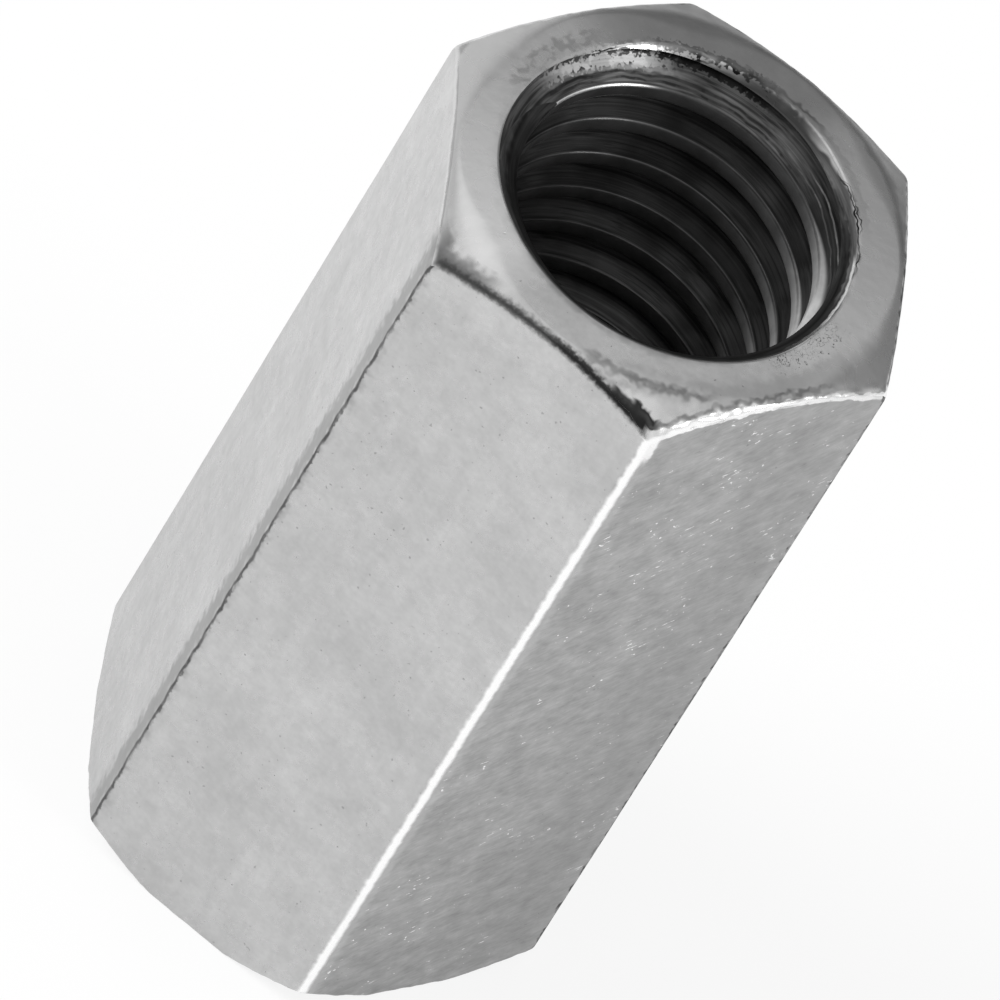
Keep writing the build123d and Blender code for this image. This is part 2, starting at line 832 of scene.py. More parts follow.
    def place(self) -> bpy.types.NodeSocket:
        """Gives the point's own place on its piece, in millimetres."""
        values = {
            "Vector": self.node("ShaderNodeTexCoord", {}).outputs["Object"],
            "Scale": (1 / MM, 1 / MM, 1 / MM),
        }
        return self.node("ShaderNodeMapping", values).outputs[0]


class GroupGraph(ShaderGraph):
    """Places the nodes of a new node group, between its entry and its exit."""

    def __init__(self, name: str, inputs: dict[str, str], outputs: Sequence[str]) -> None:
        """Starts the group.

        Args:
            name: The group's name.
            inputs: Each input's name and socket type.
            outputs: The names of the outputs, which are plain values.
        """
        super().__init__(bpy.data.node_groups.new(name, "ShaderNodeTree"))
        for socket, kind in inputs.items():
            self.tree.interface.new_socket(name=socket, in_out="INPUT", socket_type=kind)
        for socket in outputs:
            self.tree.interface.new_socket(name=socket, in_out="OUTPUT", socket_type="NodeSocketFloat")
        self.entry = self.node("NodeGroupInput", {}).outputs
        self.exit = self.node("NodeGroupOutput", {}).inputs


@dataclass(frozen=True)
class HexagonPlaces:
    """Node group that tells where a point lies on the nut, by each measure.

    The corner offset is made far out on the ends, and the radius on the side, so that no mark reaches
    over the edge between them.
    """

    sizes: NutSizes
    end: EndForm = HexagonBody.near
    far_out: float = 50.0
    end_margin: float = 0.11
    side_margin: float = 0.07

    def tree(self) -> bpy.types.NodeTree:
        """Builds the group.

        Returns:
            Its tree, with a place in millimetres as input.
        """
        outputs = [measure.value for measure in Measure]
        graph = GroupGraph("hexagon_places", {"Place": "NodeSocketVector"}, outputs)
        x, y, z = graph.split(graph.entry["Place"])
        sixth = 360.0 / len(Corner)
        radius = graph.off_axis(x, y)
        angle = graph.math("WRAP", graph.math("DEGREES", graph.math("ARCTAN2", y, x)), 360.0, 0.0)
        depth = graph.minus(self.sizes.length / MM, z)
        corner = graph.times(graph.math("ROUND", graph.math("DIVIDE", angle, sixth)), sixth)
        off_corner = graph.math("RADIANS", graph.minus(angle, corner))
        across = graph.times(radius, graph.math("SINE", off_corner))
        in_flat = graph.minus(graph.math("WRAP", angle, sixth, 0.0), sixth / 2)
        wall = graph.times(radius, graph.math("COSINE", graph.math("RADIANS", in_flat)))
        flat = self.sizes.across_flats / 2 / MM
        on_end = graph.step(wall, flat - self.end_margin, flat - self.side_margin, self.far_out, 0.0)
        on_side = graph.minus(self.far_out, on_end)
        offset = graph.math("DIVIDE", across, cos(radians(sixth / 2)))
        values = {
            Measure.ANGLE: angle,
            Measure.RADIUS: graph.plus(radius, on_side),
            Measure.DEPTH: depth,
            Measure.CORNER: graph.plus(offset, on_end),
            Measure.CHAMFER: self._below_chamfer(graph, radius, depth, wall),
        }
        for measure, value in values.items():
            graph.feed(graph.exit[measure.value], value)
        return graph.tree

    def _below_chamfer(
        self, graph: ShaderGraph, radius: object, depth: object, wall: object
    ) -> bpy.types.NodeSocket:
        """Measures how far a point lies below the near chamfer's outer edge.

        Args:
            graph: The group's graph.
            radius: The point's distance from the axis.
            depth: Its depth below the near end.
            wall: Its distance from the axis across the flat.

        Returns:
            The distance, negative within the edge.
        """
        out = graph.minus(radius, self.end.face_radius / MM)
        rise = graph.math("MAXIMUM", graph.times(out, tan(self.end.slope)), 0.0)
        below = graph.minus(depth, graph.plus(rise, self.end.crown / MM))
        inside = graph.minus(self.sizes.across_flats / 2 / MM, wall)
        return graph.minus(graph.math("MAXIMUM", below, 0.0), inside)


@dataclass(frozen=True)
class MarkMask:
    """Node group that masks one mark: a band of a measure, over an arc.

    A mark is whole down to a share of its depth, and broken where its flicker has passed the gaps.
    """

    whole_share: float = 0.75
    gaps: Ramp = Ramp(0.44, 0.54)

    def tree(self) -> bpy.types.NodeTree:
        """Builds the group.

        Returns:
            Its tree, with the mark's own numbers as inputs and Mask as output.
        """
        names = ("Value", "At", "Half", "Soft", "Angle", "Middle", "Spread", "Fade", "Depth", "Deepest")
        inputs = {name: "NodeSocketFloat" for name in names + ("Flicker", "Breaks")}
        graph = GroupGraph("mark_mask", inputs, ["Mask"])
        entry = graph.entry
        away = graph.math("ABSOLUTE", graph.minus(entry["Value"], entry["At"]))
        band = graph.step(away, entry["Half"], graph.plus(entry["Half"], entry["Soft"]), 1.0, 0.0)
        far = graph.plus(entry["Spread"], entry["Fade"])
        window = graph.within(entry["Angle"], entry["Middle"], entry["Spread"], far)
        shallow = graph.times(entry["Deepest"], self.whole_share)
        reach = graph.step(entry["Depth"], shallow, entry["Deepest"], 1.0, 0.0)
        gaps = graph.times(graph.along(entry["Flicker"], self.gaps), entry["Breaks"])
        mask = graph.times(band, window, reach, graph.minus(1.0, gaps))
        graph.feed(graph.exit["Mask"], mask)
        return graph.tree


@dataclass(frozen=True)
class MarkGrains:
    """Node group with the patterns that make the marks' borders wander and break away."""

    flicker: Pattern = Pattern(1.9, 2.0)

    def tree(self) -> bpy.types.NodeTree:
        """Builds the group.

        Returns:
            Its tree, with a place in millimetres as input, and the grains and Flicker as outputs.
        """
        outputs = [grain.name for grain in Grain] + ["Flicker"]
        graph = GroupGraph("mark_grains", {"Place": "NodeSocketVector"}, outputs)
        place = graph.entry["Place"]
        for grain in Grain:
            graph.feed(graph.exit[grain.name], graph.noise(place, grain.value, 1.0))
        graph.feed(graph.exit["Flicker"], graph.plain(place, self.flicker))
        return graph.tree


@dataclass(frozen=True)
class TurnedLines:
    """Node group with the fine rings that a turning or tapping tool leaves."""

    def tree(self) -> bpy.types.NodeTree:
        """Builds the group.

        Returns:
            Its tree, with the place, the radius and the lines' numbers as inputs, and Lines as output.
        """
        names = ("Radius", "Line Cells", "Drift Cells", "Drift")
        inputs = {"Place": "NodeSocketVector"} | {name: "NodeSocketFloat" for name in names}
        graph = GroupGraph("turned_lines", inputs, ["Lines"])
        entry = graph.entry
        drift = graph.times(graph.noise(entry["Place"], entry["Drift Cells"], 1.0), entry["Drift"])
        rings = graph.join(graph.times(entry["Radius"], entry["Line Cells"]), drift, 0.0)
        graph.feed(graph.exit["Lines"], graph.noise(rings, 1.0, 2.0))
        return graph.tree


@dataclass(frozen=True)
class DrawnPlating:
    """Node group of plated, drawn steel without marks: clouds, drawn lines, pits, and one scuffed flat that
    is painted darker as shade.
    """

    tone: float = 0.53
    broad: Pattern = Pattern(0.32, 3.0, 0.94, 1.06)
    fine: Pattern = Pattern(1.7, 4.0, 0.95, 1.05)
    grains: Pattern = Pattern(4.3, 2.0, 0.965, 1.035)
    drawn: Pattern = Pattern(1.0, 3.0, 0.975, 1.025)
    drawn_cells: tuple[float, float] = (3.2, 0.16)
    uneven: Pattern = Pattern(0.9, 2.0, 0.92, 1.08)
    # The scuffed flat, painted darker as shade: where it is, and its slanted strokes, blotches and hairs
    scuffed_flat: float = radians(330)
    scuffed_and_shaded: Ramp = Ramp(7.75, 7.85)
    stroke_angle: float = radians(30)
    stroke_cells: tuple[float, float] = (0.6, 2.6)
    stroke_slice: float = 4.0
    # The strokes' range below 1 paints the scuffed flat darker: painted shade over its real streaks
    stroked: Pattern = Pattern(1.0, 3.0, 0.73, 0.81)
    blotches: Pattern = Pattern(1.2, 4.0, 0.88, 1.12)
    hairs: Pattern = Pattern(4.2, 3.0, 0.91, 1.09)
    # Small dark pits everywhere
    small: Pattern = Pattern(4.5, 1.0)
    small_pits: Ramp = Ramp(0.785, 0.82)
    tiny: Pattern = Pattern(7.5, 0.0)
    tiny_pits: Ramp = Ramp(0.85, 0.88)
    pit_tone: float = 0.2
    pit_share: float = 0.45
    # Bright nicks and dark dents of the scuffed flat
    crowd: Pattern = Pattern(0.6, 2.0, -0.06, 0.09)
    dashes: Pattern = Pattern(3.6, 3.0)
    dots: Pattern = Pattern(4.8, 2.0)
    dash_nicks: Ramp = Ramp(0.74, 0.78)
    dot_nicks: Ramp = Ramp(0.75, 0.79)
    dash_dents: Ramp = Ramp(0.27, 0.22)
    nick_tone: float = 0.98
    # Relief in millimetres
    grain_relief: Pattern = Pattern(5.0, 2.0, 0.0, 0.0006)
    drawn_relief: float = 0.0008
    stroke_relief: float = 0.0014
    pit_relief: float = 0.006

    def tree(self) -> bpy.types.NodeTree:
        """Builds the group.

        Returns:
            Its tree, with a place in millimetres as input, and Tone, Height and Unevenness as outputs.
        """
        outputs = ["Tone", "Height", "Unevenness"]
        graph = GroupGraph("drawn_plating", {"Place": "NodeSocketVector"}, outputs)
        place = graph.entry["Place"]
        drawn = self._drawn(graph, place)
        slanted, scuffed_and_shaded = self._scuffs(graph, place)
        stroked = graph.plain(slanted, self.stroked)
        tone = self._clouds(graph, place, slanted, drawn, stroked, scuffed_and_shaded)
        tone, pits = self._specks(graph, place, slanted, scuffed_and_shaded, tone)
        lines = graph.blend(
            graph.swing(drawn, 0.0, self.drawn_relief), graph.swing(stroked, 0.0, self.stroke_relief), scuffed_and_shaded
        )
        height = graph.plus(graph.spread(place, self.grain_relief), lines)
        height = graph.minus(height, graph.times(pits, self.pit_relief))
        graph.feed(graph.exit["Tone"], tone)
        graph.feed(graph.exit["Height"], height)
        graph.feed(graph.exit["Unevenness"], graph.spread(place, self.uneven))
        return graph.tree

    def _drawn(self, graph: ShaderGraph, place: object) -> bpy.types.NodeSocket:
        """Makes the faint lines that drawing leaves along the bar.

        Args:
            graph: The group's graph.
            place: The point's place.

        Returns:
            The lines' pattern.
        """
        x, y, z = graph.split(place)
        across, along = self.drawn_cells
        vector = graph.join(graph.times(x, across), graph.times(y, across), graph.times(z, along))
        return graph.plain(vector, self.drawn)

    def _scuffs(
        self, graph: ShaderGraph, place: object
    ) -> tuple[bpy.types.NodeSocket, bpy.types.NodeSocket]:
        """Finds the scuffed flat and lays a vector along its strokes.

        Args:
            graph: The group's graph.
            place: The point's place.

        Returns:
            The vector, and the flat's mask.
        """
        x, y, z = graph.split(place)
        side, turn = self.scuffed_flat, self.stroke_angle
        tangent = graph.math("MULTIPLY_ADD", x, -sin(side), graph.times(y, cos(side)))
        normal = graph.math("MULTIPLY_ADD", x, cos(side), graph.times(y, sin(side)))
        first = graph.math("MULTIPLY_ADD", tangent, cos(turn), graph.times(z, sin(turn)))
        second = graph.math("MULTIPLY_ADD", tangent, -sin(turn), graph.times(z, cos(turn)))
        along, across = self.stroke_cells
        slanted = graph.join(graph.times(first, along), graph.times(second, across), self.stroke_slice)
        return slanted, graph.along(normal, self.scuffed_and_shaded)

    def _clouds(
        self,
        graph: ShaderGraph,
        place: object,
        slanted: object,
        drawn: object,
        stroked: object,
        scuffed_and_shaded: object,
    ) -> bpy.types.NodeSocket:
        """Gives the plating its cloudy tone, darker and rougher on the scuffed flat, where the darkness is
        painted shade over the flat's real strokes.

        Args:
            graph: The group's graph.
            place: The point's place.
            slanted: The vector along the strokes.
            drawn: The pattern of the drawn lines.
            stroked: The pattern of the strokes.
            scuffed_and_shaded: The mask of the scuffed flat, which is painted darker as shade.

        Returns:
            The tone.
        """
        lines = graph.swing(drawn, self.drawn.least, self.drawn.most)
        # Painted shade: the scuffed flat is darker, with its real strokes, blotches and hairs in it
        scuffs_and_shade = graph.times(
            graph.swing(stroked, self.stroked.least, self.stroked.most),
            graph.spread(place, self.blotches),
            graph.spread(slanted, self.hairs),
        )
        return graph.times(
            graph.spread(place, self.broad),
            graph.spread(place, self.fine),
            self.tone,
            graph.spread(place, self.grains),
            graph.blend(lines, scuffs_and_shade, scuffed_and_shaded),
        )

    def _specks(
        self, graph: ShaderGraph, place: object, slanted: object, scuffed_and_shaded: object, tone: object
    ) -> tuple[bpy.types.NodeSocket, bpy.types.NodeSocket]:
        """Adds small dark pits everywhere, and dents and bright nicks on the scuffed flat.

        Args:
            graph: The group's graph.
            place: The point's place.
            slanted: The vector along the strokes.
            scuffed_and_shaded: The mask of the scuffed flat, which the plating also paints darker as shade.
            tone: The tone without them.

        Returns:
            The tone with them, and the pits' mask.
        """
        pits = graph.largest(
            graph.along(graph.plain(place, self.small), self.small_pits),
            graph.along(graph.plain(place, self.tiny), self.tiny_pits),
        )
        crowd = graph.spread(place, self.crowd)
        dashes = graph.plus(graph.plain(slanted, self.dashes), crowd)
        dots = graph.plus(graph.plain(place, self.dots), crowd)
        nicks = graph.largest(graph.along(dashes, self.dash_nicks), graph.along(dots, self.dot_nicks))
        dents = graph.times(graph.along(dashes, self.dash_dents), scuffed_and_shaded)
        dark = graph.times(graph.largest(pits, dents), self.pit_share)
        tone = graph.blend(tone, self.pit_tone, dark)
        return graph.blend(tone, self.nick_tone, graph.times(nicks, scuffed_and_shaded)), pits


@dataclass(frozen=True)
class SharedGroups:
    """The node groups that the nut's materials share, each built once."""

    places: bpy.types.NodeTree
    mask: bpy.types.NodeTree
    grains: bpy.types.NodeTree
    lines: bpy.types.NodeTree
    plating: bpy.types.NodeTree

    @classmethod
    def built(cls, sizes: NutSizes) -> "SharedGroups":
        """Builds the groups.

        Args:
            sizes: The nut's sizes.

        Returns:
            Their trees.
        """
        return cls(
            places=HexagonPlaces(sizes).tree(),
            mask=MarkMask().tree(),
            grains=MarkGrains().tree(),
            lines=TurnedLines().tree(),
            plating=DrawnPlating().tree(),
        )


class Surface(ShaderGraph):
    """A new material of the nut, with the point's place and where that lies on the nut."""

    def __init__(self, name: str, groups: SharedGroups) -> None:
        """Starts the material.

        Args:
            name: The material's name.
            groups: The node groups that it shares.
        """
        self.material = bpy.data.materials.new(name)
        self.material.use_nodes = True
        super().__init__(self.material.node_tree)
        self.groups = groups
        self.point = self.place()
        self.where = self.group(groups.places, {"Place": self.point})
        self.shader = self.tree.nodes["Principled BSDF"].inputs

    def measured(self, measure: Measure) -> bpy.types.NodeSocket:
        """Gives where the point lies, by a measure."""
        return self.where[measure.value]

    def rings(self, lines: ToolLines) -> bpy.types.NodeSocket:
        """Places the rings that a tool leaves.

        Args:
            lines: How fine and strong they are.

        Returns:
            Their pattern.
        """
        values = {
            "Place": self.point,
            "Radius": self.measured(Measure.RADIUS),
            "Line Cells": lines.cells,
            "Drift Cells": lines.drift_cells,
            "Drift": lines.drift,
        }
        pattern = self.group(self.groups.lines, values)["Lines"]
        return self.swing(pattern, lines.least, lines.most)

    def masked(self, mark: Mark, value: object, flicker: object) -> bpy.types.NodeSocket:
        """Masks one mark.

        Args:
            mark: The mark.
            value: Where the point lies, by the mark's measure.
            flicker: The pattern that breaks the mark.

        Returns:
            The mask, as strong as the mark.
        """
        values = {
            "Value": value,
            "At": mark.band.at,
            "Half": mark.band.half,
            "Soft": mark.band.soft,
            "Angle": self.measured(Measure.ANGLE),
            "Middle": mark.arc.middle,
            "Spread": mark.arc.spread,
            "Fade": mark.arc.fade,
            "Depth": self.measured(Measure.DEPTH),
            "Deepest": mark.deepest,
            "Flicker": flicker,
            "Breaks": mark.ragged.breaks,
        }
        return self.times(self.group(self.groups.mask, values)["Mask"], mark.strength)

    def marked(self, tone: object, marks: Sequence[Mark]) -> bpy.types.NodeSocket:
        """Lays marks over a tone, and over each other in their order.

        Args:
            tone: The tone without them.
            marks: The marks.

        Returns:
            The tone with them.
        """
        grains = self.group(self.groups.grains, {"Place": self.point})
        for mark in marks:
            wander = mark.ragged.wander
            shift = self.swing(grains[mark.ragged.grain.name], -wander, wander)
            value = self.plus(self.measured(mark.measure), shift)
            tone = self.blend(tone, mark.tone, self.masked(mark, value, grains["Flicker"]))
        return tone

    def raise_by(self, height: object) -> None:
        """Gives the material a relief, by its height in millimetres."""
        relief = self.node("ShaderNodeBump", {"Strength": 1.0, "Distance": MM, "Height": height})
        self.feed(self.shader["Normal"], relief.outputs[0])


def thread_marks() -> tuple[Mark, ...]:
    """Lists the marks on the thread's first turn: a black root, painted highlights and turning lines."""
    radius = Measure.RADIUS
    coarse = Grain.COARSE
    return (
        # Black root at the back, and painted highlights beside it
        Mark(radius, Band(6.33, 0.1, 0.06), Arc(113, 16, 8), 0.006, 1.0, Ragged(0.1, Grain.FINE, 0.15), 1.7),
        Mark(radius, Band(6.12, 0.12, 0.1), Arc(150, 14, 14), 0.7, 0.9, Ragged(0.14, Grain.FINE, 0.3), 1.4),
        Mark(radius, Band(5.9, 0.02, 0.08), Arc(148, 18, 12), 0.35, 0.7, Ragged(0.05, breaks=0.3), 1.4),
        # Fine lines along the flank, dark ones and paler ones
        Mark(radius, Band(5.75, 0.02, 0.06), Arc(135, 45, 20), 0.008, 0.8, Ragged(0.06, coarse, 0.2), 1.6),
        Mark(radius, Band(5.58, 0.02, 0.04), Arc(120, 40, 20), 0.01, 0.8, Ragged(0.05, coarse, 0.4), 1.6),
        Mark(radius, Band(5.95, 0.01, 0.025), Arc(15, 45, 15), 0.2, 0.9, Ragged(0.04, coarse, 0.3), 1.6),
        Mark(radius, Band(5.72, 0.01, 0.02), Arc(25, 40, 15), 0.14, 0.9, Ragged(0.04, coarse, 0.5), 1.6),
    )


def mouth_marks() -> tuple[Mark, ...]:
    """Lists the marks on the near countersink and round its rim."""
    radius = Measure.RADIUS
    return (
        # Shade on the cone's left and front
        Mark(radius, Band(6.25, 0.12, 0.4), Arc(205, 30, 22), 0.16, 0.85, Ragged(0.1)),
        Mark(radius, Band(6.25, 0.06, 0.3), Arc(270, 25, 20), 0.28, 0.6, Ragged(0.08)),
        # Shade at the back right
        Mark(radius, Band(6.2, 0.4, 0.12), Arc(74, 22, 20), 0.1, 1.0, Ragged(0.1)),
        Mark(radius, Band(6.4, 0.04, 0.1), Arc(72, 16, 12), 0.3, 0.9, Ragged(0.1)),
        # Painted highlights and a crack on the rim at the back left, and a black band at the back
        Mark(radius, Band(6.06, 0.1, 0.14), Arc(148, 18, 12), 0.85, 0.95, Ragged(0.1, Grain.FINE, 0.25)),
        Mark(radius, Band(6.2, 0.015, 0.03), Arc(147, 28, 10), 0.04, 1.0, Ragged(0.06, breaks=0.2)),
        Mark(radius, Band(6.3, 0.06, 0.05), Arc(147, 16, 12), 0.95, 1.0, Ragged(0.08, Grain.FINE, 0.3)),
        Mark(radius, Band(6.44, 0.12, 0.07), Arc(113, 17, 8), 0.015, 1.0, Ragged(0.14, Grain.FINE, 0.2)),
        # Painted shade on the cone at the right, and a bright line on its rim
        Mark(radius, Band(6.08, 0.12, 0.06), Arc(40, 24, 10), 0.16, 0.9, Ragged(0.05)),
        Mark(radius, Band(6.08, 0.02, 0.04), Arc(6, 18, 8), 0.95, 1.0, Ragged(0.02, breaks=0.2)),
    )


def end_face_marks() -> tuple[Mark, ...]:
    """Lists the marks on the near end face and its chamfer."""
    radius = Measure.RADIUS
    chamfer = Measure.CHAMFER
    return (
        # Painted light and shade on the end face: lighter at the right and the left, darker at the back
        Mark(radius, Band(7.5, 1.28, 0.12), Arc(28, 40, 16), 0.78, 0.75, Ragged(0.05, Grain.COARSE)),
        Mark(radius, Band(7.5, 1.15, 0.15), Arc(200, 42, 20), 0.85, 0.75, Ragged(0.05, Grain.COARSE)),
        Mark(radius, Band(7.8, 1.3, 0.3), Arc(116, 20, 24), 0.38, 0.5, Ragged(0.2, Grain.COARSE)),
        # Darker chamfer at the back with a dark line along its outer edge there, and painted light on that
        # edge at the left
        Mark(radius, Band(8.6, 0.75, 0.25), Arc(82, 42, 12), 0.3, 0.8, Ragged(0.1, Grain.COARSE)),
        Mark(chamfer, Band(0.0, 0.05, 0.1), Arc(60, 62, 3), 0.05, 0.9, Ragged(0.06, breaks=0.3)),
        Mark(chamfer, Band(0.0, 0.06, 0.12), Arc(207, 23, 6), 0.75, 0.5, Ragged(0.04, Grain.COARSE)),
        # Stains and scratches of the end face
        Mark(radius, Band(6.75, 0.1, 0.35), Arc(168, 12, 10), 0.25, 0.5, Ragged(0.3, breaks=0.7)),
        Mark(radius, Band(7.5, 0.22, 0.4), Arc(322, 24, 16), 0.36, 0.5, Ragged(0.1)),
        Mark(radius, Band(8.35, 0.2, 0.3), Arc(291, 7, 5), 0.66, 0.8, Ragged(0.1)),
        Mark(radius, Band(7.6, 0.02, 0.24), Arc(296, 13, 8), 0.1, 0.65, Ragged(0.12, breaks=0.2)),
        Mark(radius, Band(7.98, 0.01, 0.16), Arc(281, 9, 6), 0.14, 0.35, Ragged(0.12, breaks=0.3)),
        Mark(radius, Band(6.5, 0.02, 0.06), Arc(348, 11, 5), 0.1, 0.9, Ragged(0.5, Grain.FINE, 0.6)),
        # Cracks beside the rim
        Mark(radius, Band(6.18, 0.014, 0.02), Arc(42, 15, 6), 0.02, 1.0, Ragged(0.05, breaks=0.2)),
        Mark(radius, Band(6.25, 0.01, 0.02), Arc(50, 8, 6), 0.03, 0.9, Ragged(0.12, breaks=0.4)),
        # Painted shade along the front flat's upper edge, where the chamfer meets it
        Mark(chamfer, Band(-0.22, 0.12, 0.35), Arc(243, 5, 7), 0.18, 0.75, Ragged(0.1)),
        Mark(chamfer, Band(0.0, 0.02, 0.3), Arc(268, 26, 5), 0.09, 0.9, Ragged(0.05, Grain.FINE)),
        Mark(chamfer, Band(-0.05, 0.04, 0.14), Arc(285, 10, 8), 0.04, 0.85, Ragged(0.05, Grain.FINE)),
        Mark(chamfer, Band(-0.13, 0.12, 0.15), Arc(294, 4, 3), 0.04, 0.95, Ragged(0.05)),
        Mark(chamfer, Band(-0.25, 0.2, 0.1), Arc(297.5, 2.3, 2), 0.04, 1.0, Ragged(0.08)),
        # A dark line, then a painted highlight on the edge above the right flat
        Mark(chamfer, Band(-0.3, 0.02, 0.12), Arc(322, 22, 5), 0.14, 0.7, Ragged(0.1, breaks=0.4)),
        Mark(chamfer, Band(0.05, 0.12, 0.06), Arc(330, 31, 1), 1.0, 1.0, Ragged(0.07)),
        Mark(chamfer, Band(0.07, 0.2, 0.08), Arc(313, 13, 2), 1.0, 1.0, Ragged(0.08)),
    )


def side_marks() -> tuple[Mark, ...]:
    """Lists the marks that both ends share: the countersinks' painted shade and what lies along the long
    edges.
    """
    corner = Measure.CORNER
    return (
        # Painted shade in both countersinks
        Mark(Measure.RADIUS, Band(5.2, 0.85, 0.25), Arc(0, 180, 1), 0.05, 1.0),
        # Front flat's left edge: a pale band and a broken dark line
        Mark(corner, Band(-0.5, 0.2, 0.6), Arc(240, 14, 2), 0.31, 0.85, Ragged(0.2)),
        Mark(corner, Band(0.0, 0.02, 0.08), Arc(240, 8, 2), 0.08, 0.85, Ragged(0.07, Grain.COARSE, 0.2)),
        Mark(corner, Band(0.03, 0.01, 0.07), Arc(240, 8, 2), 0.1, 0.8, Ragged(0.05, Grain.FINE, 0.6)),
        # Front flat's right edge: painted highlight
        Mark(corner, Band(0.34, 0.06, 0.3), Arc(300, 12, 2), 0.6, 0.4, Ragged(0.1)),
        Mark(corner, Band(0.04, 0.08, 0.18), Arc(300, 8, 2), 1.0, 1.0, Ragged(0.03)),
        Mark(corner, Band(0.2, 0.2, 0.16), Arc(300, 8, 2), 1.0, 1.0, Ragged(0.06), 2.6),
        # Right flat's far edge: painted shade over a broad band and near the edge, and a broken dark line
        Mark(corner, Band(-1.3, 1.2, 2.0), Arc(0, 31, 1), 0.28, 0.2, Ragged(0.2, Grain.COARSE)),
        Mark(corner, Band(-0.35, 0.1, 0.2), Arc(0, 8, 2), 0.45, 0.25, Ragged(0.1)),
        Mark(corner, Band(-0.04, 0.05, 0.06), Arc(0, 8, 2), 0.05, 0.9, Ragged(0.08, breaks=0.6)),
        # Light wear on the edges at the back and the left
        Mark(corner, Band(0.0, 0.05, 0.1), Arc(60, 8, 2), 0.85, 0.8, Ragged(0.05, breaks=0.3)),
        Mark(corner, Band(0.0, 0.05, 0.1), Arc(120, 8, 2), 0.85, 0.8, Ragged(0.05, breaks=0.3)),
        Mark(corner, Band(0.0, 0.05, 0.1), Arc(180, 8, 2), 0.8, 0.6, Ragged(0.05, breaks=0.3)),
    )


@dataclass(frozen=True)
class PlatedSteel:
    """The bar's finish: plated, drawn steel, with painted highlights and painted shade along its edges beside
    real stains, cracks and wear.

    It is dull where its tone is dark, and the countersink's cone shows the tool's lines.
    """

    name: str
    marks: tuple[Mark, ...]
    dullness: Ramp = Ramp(0.05, 0.6, 0.5, 0.27)
    cone: Ramp = Ramp(6.0, 6.3, 1.0, 0.0)
    cone_lines: ToolLines = ToolLines(8.0, 0.4, 3.0, 0.25, 1.9)

    def material(self, groups: SharedGroups) -> bpy.types.Material:
        """Builds the material.

        Args:
            groups: The node groups that the materials share.

        Returns:
            The material.
        """
        surface = Surface(self.name, groups)
        plating = surface.group(groups.plating, {"Place": surface.point})
        tone = surface.marked(plating["Tone"], self.marks)
        lines = surface.rings(self.cone_lines)
        on_cone = surface.along(surface.measured(Measure.RADIUS), self.cone)
        tone = surface.times(tone, surface.blend(1.0, lines, on_cone))
        roughness = surface.times(surface.along(tone, self.dullness), plating["Unevenness"])
        surface.feed(surface.shader["Base Color"], tone)
        surface.feed(surface.shader["Metallic"], 1.0)
        surface.feed(surface.shader["Roughness"], roughness)
        surface.raise_by(plating["Height"])
        return surface.material


